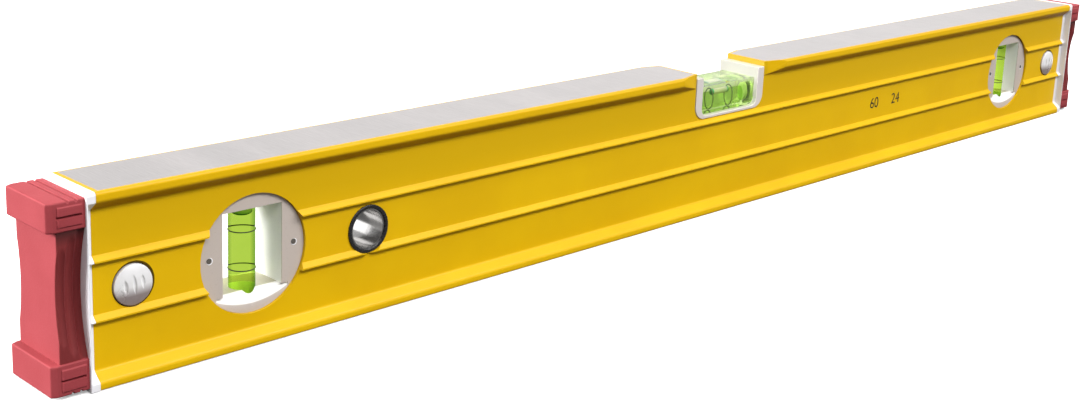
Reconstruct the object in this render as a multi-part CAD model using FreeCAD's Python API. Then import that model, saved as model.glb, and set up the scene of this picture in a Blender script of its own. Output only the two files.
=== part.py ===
"""Magnetic box-section spirit level with two plumb vials, one levelling vial,
removable end caps released by sprung buttons, and magnets in its base.

Frame: X along the level, +Z up, -Y is the front. The origin is the centre of the base.
Millimetres. "right" is the +X end, "left" the -X end with the hanging hole beside it.
"""
import FreeCAD, Part
import math
import os
from FreeCAD import Vector

# Overall size
level_length = 600.0          # over both end caps
profile_depth = 26.0          # Y, across the measuring faces
profile_height = 59.0         # Z, base to top measuring face

# What stands past each end of the profile
insert_flange = 3.0           # white end insert that shows between profile and cap
cap_reach = 11.5              # end cap beyond the insert's flange

# Profile section
web_recess = 3.3              # side walls set back from the measuring faces' edges
web_wall = 2.0
top_wall = 3.8
base_wall = 5.0
lip_face = 3.1                # upright edge of the top measuring flange
lip_slope = 2.8               # how far the lip's underside falls on its way to the web
foot_face = 2.4               # upright edge of the base flange
foot_slope = 2.7
flange_corner = 1.1           # rounding of the long outer corners
flange_root = 1.3             # rounding where a flange meets the web
rib_top_drop = 19.4           # where the upper rib's slope leaves the web, below the top
low_rib_top_z = 21.9
rib_height = 1.5              # how far a rib stands off the web
rib_slope = 1.5               # Z run of its long upper side
rib_crest = 0.5
rib_return = 0.3              # Z run of its short underside
fit_gap = 0.05                # between parts that are pressed or glued together
overrun = 4.0                 # how far a cutting shape runs past what it cuts

# Windows with the plumb vials
window_radius = 19.2
window_inset = 54.4           # window centre from the profile's end
window_drop = 0.7             # window's centre below the profile's mid-height
holder_set_back = 1.0         # holder's face behind the web's face
holder_half_width = 21.8
opening_width = 21.6
opening_height = 26.6
opening_lift = 1.0            # centre of the opening above the window's centre
scoop_radius = 30.0           # curved lower edge of the holder's scoop, seen from the front
scoop_depth = 2.4
scoop_drop = 4.4              # how far the scoop falls from the opening's sill to the face
scoop_half_width = 13.2
pad_gap = 0.1                 # holder's round pad inside the window's edge

# Plumb vial
tube_radius = 4.2
tube_wall = 0.8
tube_end_wall = 1.2
tube_head_gap = 5.9           # between the vial's upper end and the cavity's top
tube_front_gap = 0.7          # between the vial's front and the front web's inner face
plug_length = 2.0
plug_sink = 1.0               # levelling vial's plug below the block's end
plumb_bubble_length = 6.0
bubble_gap = 0.35             # clear space round a bubble over its whole travel

# Levelling vial in the middle
notch_width = 43.8
notch_depth = 19.2
notch_corner = 5.6
runout_length = 11.5          # lip run-out beside the notch
cradle_wall = 4.1
cradle_floor = 1.3
cradle_top_drop = 2.0         # cradle's top edge below the measuring face
cradle_proud = 0.4            # cradle's face in front of the web
cradle_gap = 0.1
cradle_inner_corner = 3.0
block_depth = 16.4
block_height = 11.4
block_gap = 0.05
block_edge = 0.4
bore_radius = 3.9
bore_end_wall = 1.2
bore_lift = -0.7              # bore axis above the block's middle
level_bubble_radius = 2.1
level_bubble_length = 11.2

# Hanging hole
hang_inset = 98.6             # centre from the left end of the profile
hang_drop = 1.6               # centre below the profile's mid-height
sleeve_radius = 6.9
sleeve_wall = 0.7
collar_radius = 8.2
collar_lip = 0.5              # how far the collar stands out in front of the web
collar_depth = 4.0

# End insert
insert_rim = 0.6              # outer plate of the flange, as deep as the measuring faces
plug_wall = 1.6
insert_depth = 27.0
insert_gap = 0.1
shelf_wall = 1.6

# Release button, on the front only
button_inset = 12.6           # button centre from the profile's end
button_drop = 1.1             # centre below the profile's mid-height
button_radius = 6.3
button_gap = 0.3              # round the button's head
button_proud = 0.5            # rim of the button in front of the web
button_dome = 0.9
button_top_radius = 4.3       # flat of the crown, inside its bevel
button_flange = 1.0           # how far the retaining collar stands out past the head
button_collar = 1.2           # collar thickness
stem_radius = 3.0
button_play = 0.1             # between collar and insert wall at rest
groove_width = 1.2
groove_length = 5.6
groove_depth = 0.35
groove_pitch = 2.8
groove_tilt = 7.0             # degrees

# Button return spring, a bowed steel leaf
leaf_bow = 3.6                # height of the bow, crown to feet
leaf_length = 12.6            # X, foot to foot
leaf_width = 5.0              # Z
leaf_thickness = 0.4
leaf_gap = 0.05               # between the crown and the button's stem

# End cap
cap_drop = 1.1                # cap edge short of each measuring face
cap_side_drop = 0.3           # cap side short of the profile's edge
cap_step = 2.8                # waist's outer face behind the blocks' outer faces
top_block = 8.7
base_block = 9.5
cap_corner = 0.9
cap_chamfer = 2.0             # along X, on the blocks' upright corners
block_pad = 0.45              # raised pad on each side of a block
pad_start = 1.0               # pad from the insert
pad_length = 7.4
pad_margin = 1.6
slot_height = 0.8
slot_depth = 1.0
slot_length = 6.4
waist_set_back = 0.5          # waist's sides behind the blocks' sides
flute_width = 3.0
flute_hollow = 0.8            # how deep each flute is dished between its ridges
flute_depth = 3.3             # ridge depth next to the insert, at mid-height
flute_depth_loss = 0.9        # each ridge further out is shallower by this
flute_count = 3
cross_groove_width = 0.8
cross_groove_depth = 0.5
cross_groove_pitch = 2.6
cross_groove_first = 2.5      # first groove's middle from the insert
cross_groove_count = 2

# Hard carrier inside the cap
core_plate = 1.8
core_half_width = 7.6
core_top_margin = 6.5
core_corner = 2.0
tongue_gap = 0.15
tongue_past_button = 9.0
fork_space = 0.9              # fork clear of the button's collar
nose_gap = 0.3                # sprung nose clear of the collar
nose_length = 2.2
prong_height = 4.4
lead_in = 1.2

# Magnets in the base
keeper_length = 26.0          # X
keeper_width = 13.0           # Y
keeper_height = 4.0
keeper_wall = 1.2
magnet_sink = 0.15            # magnet's face above the base plane
magnet_place_shares = (-0.74, -0.3, 0.3, 0.74)  # of the profile's half length

# Sizes that follow from the ones above
profile_length = level_length - 2 * (insert_flange + cap_reach)
profile_end = profile_length / 2
half_depth = profile_depth / 2
web_out = half_depth - web_recess
web_in = web_out - web_wall
cavity_top = profile_height - top_wall
rib_top_z = profile_height - rib_top_drop
notch_bottom_z = profile_height - notch_depth
window_x = profile_end - window_inset
window_z = profile_height / 2 - window_drop
hang_z = profile_height / 2 - hang_drop
button_z = profile_height / 2 - button_drop
tube_half_length = cavity_top - tube_head_gap - window_z
tube_offset = web_in - tube_front_gap - tube_radius  # vial axis in front of the middle plane
holder_face = web_out - holder_set_back
opening_z = window_z + opening_lift
opening_sill = opening_z - opening_height / 2
button_x = profile_end - button_inset
insert_face = profile_end + insert_flange
cap_face = insert_face + cap_reach
plug_out = web_in - insert_gap
plug_in = plug_out - plug_wall
collar_out = button_radius + button_flange
collar_front = plug_in - button_play
leaf_crown_y = plug_in - leaf_bow - leaf_thickness
fork_half_gap = collar_out + fork_space
cradle_low = notch_bottom_z + cradle_gap
block_low = cradle_low + cradle_floor
cradle_half = notch_width / 2 - cradle_gap
pocket_half = cradle_half - cradle_wall
bore_z = block_low + block_height / 2 + bore_lift
hang_x = hang_inset - profile_end
groove_steps = (-1, 0, 1)
tongue_half_height = fork_half_gap + prong_height
tongue_half_width = plug_in - tongue_gap

os.makedirs("parts", exist_ok=True)


def save(name, *solids):
    """Write one node, as a single solid or as a group of like solids."""
    shape = solids[0] if len(solids) == 1 else Part.makeCompound(list(solids))
    shape.exportStep("parts/" + name + ".step")


def mirrored(shape):
    return shape.mirror(Vector(0, 0, 0), Vector(1, 0, 0))


def save_pair(name, *right_solids):
    """Write the right-hand piece and its mirror image at the left end."""
    save(name + "_right", *right_solids)
    save(name + "_left", *[mirrored(solid) for solid in right_solids])


def block(x, y, z):
    """Box between two limits along each axis."""
    size = (x[1] - x[0], y[1] - y[0], z[1] - z[0])
    return Part.makeBox(*size, Vector(x[0], y[0], z[0]))


def rod_x(radius, x, y, z):
    return Part.makeCylinder(radius, x[1] - x[0], Vector(x[0], y, z), Vector(1, 0, 0))


def rod_y(radius, x, y, z):
    return Part.makeCylinder(radius, y[1] - y[0], Vector(x, y[0], z), Vector(0, 1, 0))


def rod_z(radius, x, y, z):
    return Part.makeCylinder(radius, z[1] - z[0], Vector(x, y, z[0]), Vector(0, 0, 1))


def rounded_face(corners, place):
    """Face whose outline turns at corners (a, b, radius); place puts (a, b) in space."""
    points = [Vector(a, b, 0) for a, b, radius in corners]
    count = len(points)
    ends = []
    for i in range(count):
        back = (points[i - 1] - points[i]).normalize()
        ahead = (points[(i + 1) % count] - points[i]).normalize()
        half_turn = back.getAngle(ahead) / 2
        radius = corners[i][2]
        reach = radius / math.tan(half_turn)
        middle = (back + ahead).normalize() * (radius / math.sin(half_turn) - radius)
        ends.append((points[i] + back * reach, points[i] + middle, points[i] + ahead * reach))
    edges = []
    for i in range(count):
        start, middle, end = [place(p.x, p.y) for p in ends[i]]
        following = place(*tuple(ends[(i + 1) % count][0])[:2])
        if corners[i][2] > 0:
            edges.append(Part.Arc(start, middle, end).toShape())
        edges.append(Part.makeLine(end, following))
    return Part.Face(Part.Wire(edges))


def rounded_block(x, y, z, radius, axis):
    """Box with its four edges along the given axis rounded."""
    spans = {"x": (y, z, x), "y": (x, z, y), "z": (x, y, z)}
    a, b, run = spans[axis]
    places = {
        "x": lambda u, v: Vector(run[0], u, v),
        "y": lambda u, v: Vector(u, run[0], v),
        "z": lambda u, v: Vector(u, v, run[0]),
    }
    ways = {"x": Vector(1, 0, 0), "y": Vector(0, 1, 0), "z": Vector(0, 0, 1)}
    corners = [(a[0], b[0], radius), (a[1], b[0], radius), (a[1], b[1], radius), (a[0], b[1], radius)]
    return rounded_face(corners, places[axis]).extrude(ways[axis] * (run[1] - run[0]))


def rib_corners(top_z):
    """One rib on the web, from its underside up, as (distance out, z, rounding of the corner)."""
    crest_top = top_z - rib_slope
    crest_bottom = crest_top - rib_crest
    return [
        (web_out, crest_bottom - rib_return, 0),
        (web_out + rib_height, crest_bottom, 0),
        (web_out + rib_height, crest_top, 0),
        (web_out, top_z, 0),
    ]


def profile_outline():
    """Outer section: two measuring flanges and ribbed webs, the same front and back."""
    side = [(half_depth, 0, 0), (half_depth, foot_face, 0)]
    side.append((web_out, foot_face + foot_slope, flange_root))
    side += rib_corners(low_rib_top_z)
    side += rib_corners(rib_top_z)
    side.append((web_out, profile_height - lip_face - lip_slope, flange_root))
    side.append((half_depth, profile_height - lip_face, 0))
    side.append((half_depth, profile_height, flange_corner))
    front = [(-y, z, r) for y, z, r in side]
    return front + side[::-1]


def cavity_section(gap):
    """Limits of the profile's hollow, drawn in by gap, as spans along Y and Z."""
    y = (-web_in + gap, web_in - gap)
    z = (base_wall + gap, cavity_top - gap)
    return y, z


def cavity_fill(x, gap):
    """Solid that fills a length of the cavity, less the gap all round."""
    y, z = cavity_section(gap)
    return block(x, y, z)


def profile_blank():
    """The extrusion before machining: outer section less the long box cavity."""
    place = lambda y, z: Vector(-profile_end, y, z)
    outside = rounded_face(profile_outline(), place).extrude(Vector(profile_length, 0, 0))
    return outside.cut(cavity_fill((-profile_end - overrun, profile_end + overrun), 0))


def notch_cut():
    """Slot from the top for the levelling vial, with rounded lower corners."""
    half = notch_width / 2
    high = profile_height + overrun
    corners = [
        (-half, notch_bottom_z, notch_corner),
        (half, notch_bottom_z, notch_corner),
        (half, high, 0),
        (-half, high, 0),
    ]
    deep = half_depth + overrun
    face = rounded_face(corners, lambda x, z: Vector(x, -deep, z))
    return face.extrude(Vector(0, 2 * deep, 0))


def runout_cut(side):
    """Lip beside the notch, milled back to the web and running out at a slant."""
    half = notch_width / 2
    slant = runout_length * (half_depth + overrun - web_out) / web_recess
    low = profile_height - lip_face - lip_slope
    corners = [
        (-half, web_out, 0),
        (half, web_out, 0),
        (half + slant, half_depth + overrun, 0),
        (-half - slant, half_depth + overrun, 0),
    ]
    face = rounded_face(corners, lambda x, y: Vector(x, side * y, low))
    return face.extrude(Vector(0, 0, profile_height + overrun - low))


def magnet_places():
    return [share * profile_end for share in magnet_place_shares]


def body_profile():
    body = profile_blank()
    across = (-half_depth - overrun, half_depth + overrun)
    front_web = (-half_depth - overrun, -web_in + overrun)
    cuts = [notch_cut(), runout_cut(-1), runout_cut(1)]
    for side in (-1, 1):
        cuts.append(rod_y(window_radius, side * window_x, across, window_z))
        cuts.append(rod_y(button_radius + button_gap, side * button_x, front_web, button_z))
    cuts.append(rod_y(collar_radius, hang_x, across, hang_z))
    for x in magnet_places():
        cuts.append(bar(x, keeper_length, keeper_width, fit_gap, (-overrun, keeper_height + fit_gap)))
    return body.cut(cuts)


def holder_half(side):
    """Front (-1) or back (+1) half of a plumb vial's holder, at the right window.

    A plate that slides in the cavity, with a round pad that shows in the window, a
    rectangular reading opening, and a scoop under it that lets light on to the vial.
    """
    split = -tube_offset
    face = side * holder_face
    plate_out = side * (web_in - fit_gap)
    x = (window_x - holder_half_width, window_x + holder_half_width)
    half_space = block(x, sorted((split, plate_out)), (0, profile_height))
    plate = cavity_fill(x, fit_gap).common(half_space)
    pad = rod_y(window_radius - pad_gap, window_x, sorted((split, face)), window_z)
    half = plate.fuse(pad)
    past = sorted((split - side * overrun, face + side * overrun))
    opening_x = (window_x - opening_width / 2, window_x + opening_width / 2)
    opening_span = (opening_sill, opening_sill + opening_height)
    half = half.cut(block(opening_x, past, opening_span))
    half = half.cut(scoop_cut(side))
    half = half.cut(rod_z(tube_radius + fit_gap, window_x, split, tube_span(fit_gap)))
    return half.removeSplitter()


def scoop_cut(side):
    """Conical scoop from the opening's sill out to the holder's face."""
    face_radius = scoop_radius
    inner_radius = scoop_radius - scoop_drop
    centre_z = opening_sill - scoop_drop + scoop_radius
    start = Vector(window_x, side * (holder_face - scoop_depth), centre_z)
    cone = Part.makeCone(inner_radius, face_radius, scoop_depth, start, Vector(0, side, 0))
    x = (window_x - scoop_half_width, window_x + scoop_half_width)
    y = sorted((0, side * holder_face))
    return cone.common(block(x, y, (opening_sill - scoop_drop - overrun, opening_sill)))


def tube_span(gap):
    return (window_z - tube_half_length - gap, window_z + tube_half_length + gap)


def plumb_vial():
    """Tube, end plug and bubble of the right plumb vial."""
    low, high = tube_span(0)
    y = -tube_offset
    bore = tube_radius - tube_wall
    plug_low = high - plug_length
    tube = rod_z(tube_radius, window_x, y, (low, high))
    tube = tube.cut(rod_z(bore, window_x, y, (low + tube_end_wall, high + overrun)))
    plug = rod_z(bore - fit_gap, window_x, y, (plug_low, high))
    bubble_top = plug_low - bubble_gap
    bubble = rod_z(bore - bubble_gap, window_x, y, (bubble_top - plumb_bubble_length, bubble_top))
    save_pair("plumb_vial_tube", tube)
    save_pair("plumb_vial_plug", plug)
    save_pair("plumb_vial_bubble", bubble)


def cradle_section(half, low, high, corner, y):
    """Block-shaped face in the XZ plane with rounded lower corners."""
    corners = [(-half, low, corner), (half, low, corner), (half, high, 0), (-half, high, 0)]
    return rounded_face(corners, lambda x, z: Vector(x, y, z))


def vial_cradle():
    """White U-shaped cradle that fills the notch and carries the levelling vial."""
    deep = web_out + cradle_proud
    high = profile_height - cradle_top_drop
    outside = cradle_section(cradle_half, cradle_low, high, notch_corner, -deep)
    pocket = cradle_section(pocket_half, block_low, high + overrun, cradle_inner_corner, -deep)
    whole = outside.extrude(Vector(0, 2 * deep, 0))
    return whole.cut(pocket.extrude(Vector(0, 2 * deep, 0)))


def levelling_vial():
    """Clear block with its bore, plug and bubble."""
    half = pocket_half - block_gap
    high = block_low + block_height
    corner = cradle_inner_corner + block_gap
    section = cradle_section(half, block_low, high, corner, -block_depth / 2)
    vial = section.extrude(Vector(0, block_depth, 0))
    top_edges = [edge for edge in vial.Edges if is_level_edge(edge, high)]
    vial = vial.makeChamfer(block_edge, top_edges)
    bore_start = -half + bore_end_wall
    vial = vial.cut(rod_x(bore_radius, (bore_start, half + overrun), 0, bore_z))
    plug_end = half - plug_sink
    plug = rod_x(bore_radius - fit_gap, (plug_end - plug_length, plug_end), 0, bore_z)
    bubble_half = level_bubble_length / 2
    bubble_z = bore_z + bore_radius - bubble_gap - level_bubble_radius
    bubble = rod_x(level_bubble_radius, (-bubble_half, bubble_half), 0, bubble_z)
    save("levelling_vial_block", vial)
    save("levelling_vial_plug", plug)
    save("levelling_vial_bubble", bubble)


def is_level_edge(edge, z):
    """True for a straight edge that lies along X or Y at height z."""
    ends = [v.Point.z for v in edge.Vertexes]
    return len(ends) == 2 and max(abs(end - z) for end in ends) < Part.Precision.confusion()


def hanging_hole():
    """Bright tube through both webs, with a black collar at each side."""
    through = (-web_out, web_out)
    sleeve = rod_y(sleeve_radius, hang_x, through, hang_z)
    sleeve = sleeve.cut(rod_y(sleeve_radius - sleeve_wall, hang_x, through, hang_z))
    save("hang_sleeve", sleeve)
    for side, name in ((-1, "hang_collar_front"), (1, "hang_collar_back")):
        span = sorted((side * (web_out - collar_depth), side * (web_out + collar_lip)))
        collar = rod_y(collar_radius - fit_gap, hang_x, span, hang_z)
        save(name, collar.cut(rod_y(sleeve_radius, hang_x, span, hang_z)))


def end_insert():
    """White insert: flange with the profile's outline and a thin outer plate that is as
    deep as the measuring faces all the way up, then a hollow plug and a socket."""
    place = lambda y, z: Vector(profile_end, y, z)
    flange = rounded_face(profile_outline(), place).extrude(Vector(insert_flange, 0, 0))
    rim_x = (insert_face - insert_rim, insert_face)
    rim = rounded_block(rim_x, (-half_depth, half_depth), (0, profile_height), flange_corner, "x")
    z = cavity_section(insert_gap)[1]
    plug_x = (profile_end - insert_depth, profile_end)
    whole = flange.fuse([rim, cavity_fill(plug_x, insert_gap)])
    socket_half = tongue_half_height + tongue_gap
    socket_z = (button_z - socket_half, button_z + socket_half)
    hollow_x = (plug_x[0] - overrun, profile_end)
    hollow_y = (-plug_in, plug_in)
    rooms = [
        (z[0] + plug_wall, socket_z[0] - shelf_wall, hollow_x),
        (socket_z[0], socket_z[1], (hollow_x[0], insert_face + overrun)),
        (socket_z[1] + shelf_wall, z[1] - plug_wall, hollow_x),
    ]
    cuts = [block(x, hollow_y, (low, high)) for low, high, x in rooms]
    cuts.append(rod_y(button_radius + button_gap, button_x, (-web_in - overrun, 0), button_z))
    return whole.cut(cuts).removeSplitter()


def release_button():
    """Domed head with three slanted grooves, a retaining collar and a stem."""
    rim_front = web_out + button_proud
    dome_front = rim_front + button_dome
    collar_back = collar_front - button_collar
    points = [
        (0, leaf_gap - leaf_crown_y),
        (stem_radius, leaf_gap - leaf_crown_y),
        (stem_radius, collar_back),
        (collar_out, collar_back),
        (collar_out, collar_front),
        (button_radius, collar_front),
        (button_radius, rim_front),
        (button_top_radius, dome_front),
        (0, dome_front),
    ]
    outline = [Vector(button_x + radius, -front, button_z) for radius, front in points]
    centre = Vector(button_x, 0, button_z)
    section = Part.Face(Part.makePolygon(outline + [outline[0]]))
    button = section.revolve(centre, Vector(0, -1, 0), 360)
    for step in groove_steps:
        x = button_x + step * groove_pitch
        span_x = (x - groove_width / 2, x + groove_width / 2)
        span_z = (button_z - groove_length / 2, button_z + groove_length / 2)
        groove = block(span_x, (-dome_front - overrun, -dome_front + groove_depth), span_z)
        groove.rotate(Vector(x, 0, button_z), Vector(0, 1, 0), groove_tilt)
        button = button.cut(groove)
    return button


def return_spring():
    """Bowed steel leaf between the button's stem and the insert's back wall."""
    half = leaf_length / 2
    outer = (half ** 2 + leaf_bow ** 2) / (2 * leaf_bow)
    centre_y = plug_in - leaf_bow + outer
    inner_half = math.sqrt((outer + leaf_thickness) ** 2 - (centre_y - plug_in) ** 2)
    low = button_z - leaf_width / 2

    def at(x, y):
        return Vector(button_x + x, y, low)

    edges = [
        Part.Arc(at(-half, plug_in), at(0, centre_y - outer), at(half, plug_in)).toShape(),
        Part.makeLine(at(half, plug_in), at(inner_half, plug_in)),
        Part.Arc(at(inner_half, plug_in), at(0, leaf_crown_y), at(-inner_half, plug_in)).toShape(),
        Part.makeLine(at(-inner_half, plug_in), at(-half, plug_in)),
    ]
    return Part.Face(Part.Wire(edges)).extrude(Vector(0, 0, leaf_width))


def cap_blank():
    """End cap before its grips are cut: waist and the two blocks that stand past it."""
    y = half_depth - cap_side_drop - block_pad
    low = cap_drop
    high = profile_height - cap_drop
    waist_y = y - waist_set_back
    waist = block((insert_face, cap_face - cap_step), (-waist_y, waist_y), (low, high))
    spans = ((low, low + base_block), (high - top_block, high))
    whole = waist.fuse([end_block(y, z) for z in spans]).removeSplitter()
    for z in spans:
        whole = add_side_pads(whole, y, z)
    return whole


def end_block(y, z):
    """One block of the cap: outer edges rounded, upright corners chamfered."""
    corners = [
        (insert_face, z[0], 0),
        (cap_face, z[0], cap_corner),
        (cap_face, z[1], cap_corner),
        (insert_face, z[1], 0),
    ]
    side_view = rounded_face(corners, lambda a, b: Vector(a, -y, b))
    plan = [
        (insert_face, -y, 0),
        (cap_face - cap_chamfer, -y, 0),
        (cap_face, -y + cap_corner, 0),
        (cap_face, y - cap_corner, 0),
        (cap_face - cap_chamfer, y, 0),
        (insert_face, y, 0),
    ]
    top_view = rounded_face(plan, lambda a, b: Vector(a, b, z[0]))
    return side_view.extrude(Vector(0, 2 * y, 0)).common(top_view.extrude(Vector(0, 0, z[1] - z[0])))


def add_side_pads(whole, y, z):
    """Raised pad with a level slot on both sides of one block."""
    x = (insert_face + pad_start, insert_face + pad_start + pad_length)
    pad_z = (z[0] + pad_margin, z[1] - pad_margin)
    middle = (z[0] + z[1]) / 2
    slot_z = (middle - slot_height / 2, middle + slot_height / 2)
    slot_x = (x[0] + (pad_length - slot_length) / 2, x[1] - (pad_length - slot_length) / 2)
    for side in (-1, 1):
        pad = block(x, sorted((0, side * (y + block_pad))), pad_z)
        edge = y + block_pad
        slot = block(slot_x, sorted((side * (edge - slot_depth), side * (edge + overrun))), slot_z)
        whole = whole.fuse(pad).cut(slot)
    return whole


def flute_cut(side):
    """Grip on one side of the waist: dished flutes swept round an axis along X.

    The axis lies outside the cap, so the flutes are deepest at mid-height and run
    out at the blocks. They are deepest next to the insert.
    """
    low = cap_drop + base_block
    high = profile_height - cap_drop - top_block
    half_height = (high - low) / 2
    middle = (high + low) / 2
    side_y = half_depth - cap_side_drop - block_pad - waist_set_back
    sweep = (half_height ** 2 + flute_depth ** 2) / (2 * flute_depth)
    axis_y = side * (side_y - flute_depth + sweep)
    section = [(insert_face, 0), (insert_face, sweep)]
    for step in range(flute_count):
        start = insert_face + step * flute_width
        near = sweep - step * flute_depth_loss
        far = near - flute_depth_loss
        section.append((start + flute_width / 2, (near + far) / 2 + flute_hollow))
        section.append((start + flute_width, far))
    section.append((section[-1][0], 0))
    points = [Vector(x, axis_y + side * radius, middle) for x, radius in section]
    face = Part.Face(Part.makePolygon(points + [points[0]]))
    ring = face.revolve(Vector(0, axis_y, middle), Vector(1, 0, 0), 360)
    room = block((insert_face, cap_face), sorted((0, side * profile_depth)), (low, high))
    return ring.common(room)


def end_cap():
    """Soft end cap with its fluted grip, side pads and cross grooves."""
    cap = cap_blank().cut([flute_cut(-1), flute_cut(1)])
    across = (-profile_depth, profile_depth)
    low = (cap_drop - overrun, cap_drop + cross_groove_depth)
    high = (profile_height - low[1], profile_height - low[0])
    for step in range(cross_groove_count):
        middle = insert_face + cross_groove_first + step * cross_groove_pitch
        x = (middle - cross_groove_width / 2, middle + cross_groove_width / 2)
        cap = cap.cut([block(x, across, low), block(x, across, high)])
    plate_x, plate_y, plate_z = core_plate_spans()
    cap = cap.cut(rounded_block(plate_x, plate_y, plate_z, core_corner, "x"))
    return cap.removeSplitter()


def core_plate_spans():
    x = (insert_face, insert_face + core_plate)
    z = (cap_drop + core_top_margin, profile_height - cap_drop - core_top_margin)
    return x, (-core_half_width, core_half_width), z


def cap_core():
    """Hard carrier set into the cap: plate, tongue and the fork round the button."""
    x, y, z = core_plate_spans()
    plate = rounded_block(x, y, z, core_corner, "x")
    tip = button_x - tongue_past_button
    tongue_y = (-tongue_half_width, tongue_half_width)
    tongue_z = (button_z - tongue_half_height, button_z + tongue_half_height)
    tongue = block((tip, insert_face), tongue_y, tongue_z)
    tip_edges = [e for e in tongue.Edges if is_tip_edge(e, tip)]
    tongue = tongue.makeChamfer(lead_in, tip_edges)
    gap_z = (button_z - fork_half_gap, button_z + fork_half_gap)
    deep = (-tongue_half_width - overrun, tongue_half_width + overrun)
    fork = block((tip - overrun, button_x), deep, gap_z)
    fork = fork.fuse(rod_y(fork_half_gap, button_x, deep, button_z))
    core = plate.fuse(tongue).cut(fork)
    for side in (-1, 1):
        core = core.fuse(fork_nose(side, tip))
    return core.removeSplitter()


def is_tip_edge(edge, tip):
    """True for the tongue's two level edges across its tip."""
    near = Part.Precision.confusion()
    ends = [v.Point for v in edge.Vertexes]
    return all(abs(p.x - tip) < near for p in ends) and abs(ends[0].z - ends[1].z) < near


def fork_nose(side, tip):
    """Snap nose inside one prong, level with the button's collar."""
    inner = button_z + side * (collar_out + nose_gap)
    outer = button_z + side * fork_half_gap
    start = tip + lead_in
    corners = [
        Vector(start, -tongue_half_width, outer),
        Vector(start + nose_length / 2, -tongue_half_width, inner),
        Vector(start + nose_length, -tongue_half_width, outer),
    ]
    face = Part.Face(Part.makePolygon(corners + [corners[0]]))
    return face.extrude(Vector(0, button_collar, 0))


def bar(x, length, width, grown, z):
    """Upright rectangular bar centred at x, grown by a gap on its four sides."""
    half_x = length / 2 + grown
    half_y = width / 2 + grown
    return block((x - half_x, x + half_x), (-half_y, half_y), z)


def magnets():
    """Steel keepers pressed into the base, each with a bar magnet in it."""
    length = keeper_length - 2 * keeper_wall
    width = keeper_width - 2 * keeper_wall
    seat = keeper_height - keeper_wall
    for number, x in enumerate(magnet_places(), 1):
        keeper = bar(x, keeper_length, keeper_width, 0, (0, keeper_height))
        keeper = keeper.cut(bar(x, length, width, 0, (-overrun, seat)))
        save("magnet_keeper_%d" % number, keeper)
        save("magnet_%d" % number, bar(x, length, width, -fit_gap, (magnet_sink, seat)))


save("body_profile", body_profile())
save_pair("vial_holder_front", holder_half(-1))
save_pair("vial_holder_back", holder_half(1))
plumb_vial()
save("vial_cradle", vial_cradle())
levelling_vial()
hanging_hole()
save_pair("end_insert", end_insert())
save_pair("release_button", release_button())
save_pair("button_spring", return_spring())
save_pair("end_cap", end_cap())
save_pair("cap_core", cap_core())
magnets()
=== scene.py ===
"""Looks of the magnetic spirit level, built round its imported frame. Metres, row frame."""
import math

import bmesh
import bpy
from mathutils import Matrix, Vector


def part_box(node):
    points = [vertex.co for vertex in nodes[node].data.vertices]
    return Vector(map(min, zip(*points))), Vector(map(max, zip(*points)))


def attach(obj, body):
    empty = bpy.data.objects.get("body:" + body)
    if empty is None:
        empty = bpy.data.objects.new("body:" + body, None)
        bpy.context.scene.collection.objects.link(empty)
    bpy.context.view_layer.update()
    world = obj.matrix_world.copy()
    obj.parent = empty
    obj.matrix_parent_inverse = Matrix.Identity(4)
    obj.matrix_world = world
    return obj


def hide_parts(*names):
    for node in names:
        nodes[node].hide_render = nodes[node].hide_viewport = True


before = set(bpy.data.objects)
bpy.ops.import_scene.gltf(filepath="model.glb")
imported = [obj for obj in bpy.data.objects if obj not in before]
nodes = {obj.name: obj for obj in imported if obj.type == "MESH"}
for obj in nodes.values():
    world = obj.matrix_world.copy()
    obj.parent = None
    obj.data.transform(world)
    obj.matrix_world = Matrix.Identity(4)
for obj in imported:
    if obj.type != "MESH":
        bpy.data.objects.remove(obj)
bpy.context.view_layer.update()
scene = bpy.context.scene
MM = 0.001
X_AXIS, Z_AXIS = (1, 0, 0), (0, 0, 1)
SIDES = (("left", -1), ("right", 1))

# Sizes repeated from the part. Heights are from the base, depths from the middle plane
PROFILE_END = 285.5 * MM
HALF_DEPTH = 13.0 * MM
HEIGHT = 59.0 * MM
WEB_OUT = 9.7 * MM             # face of the web
NOTCH_HALF = 21.9 * MM         # half the notch that holds the levelling vial
RUNOUT = 11.5 * MM             # the top widens over this length beside the notch
WINDOW_X = 231.1 * MM
WINDOW_Z = 28.8 * MM
HOLDER_FACE = 8.7 * MM
TUBE_Y = -2.8 * MM
TUBE_R = 4.2 * MM
TUBE_LOW = 8.3 * MM
TUBE_HIGH = 49.3 * MM
RING_SPACING = 12.5 * MM
BLOCK_CORNER = 3.05 * MM
BUTTON_X = 272.9 * MM
BUTTON_Z = 28.4 * MM
BUTTON_R = 6.3 * MM
BUTTON_RIM = 10.2 * MM         # front edge of the button's head
COLLAR_R = 7.3 * MM
COLLAR_FRONT = 5.9 * MM
COLLAR_BACK = 4.7 * MM
STEM_R = 3.0 * MM
STEM_END = -1.95 * MM
INSERT_FACE = 288.5 * MM       # the cap starts here
CAP_FACE = 300.0 * MM
CAP_LOW, CAP_HIGH = 1.1 * MM, 57.9 * MM
CAP_Y = 12.25 * MM
CAP_ROUND = 0.5 * MM
BASE_TOP, TOP_LOW = 10.6 * MM, 49.2 * MM    # the cap's fluted waist lies between these
WAIST_X = 297.2 * MM
CHAMFER_X, CHAMFER_Y = 2.0 * MM, 0.9 * MM

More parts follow.
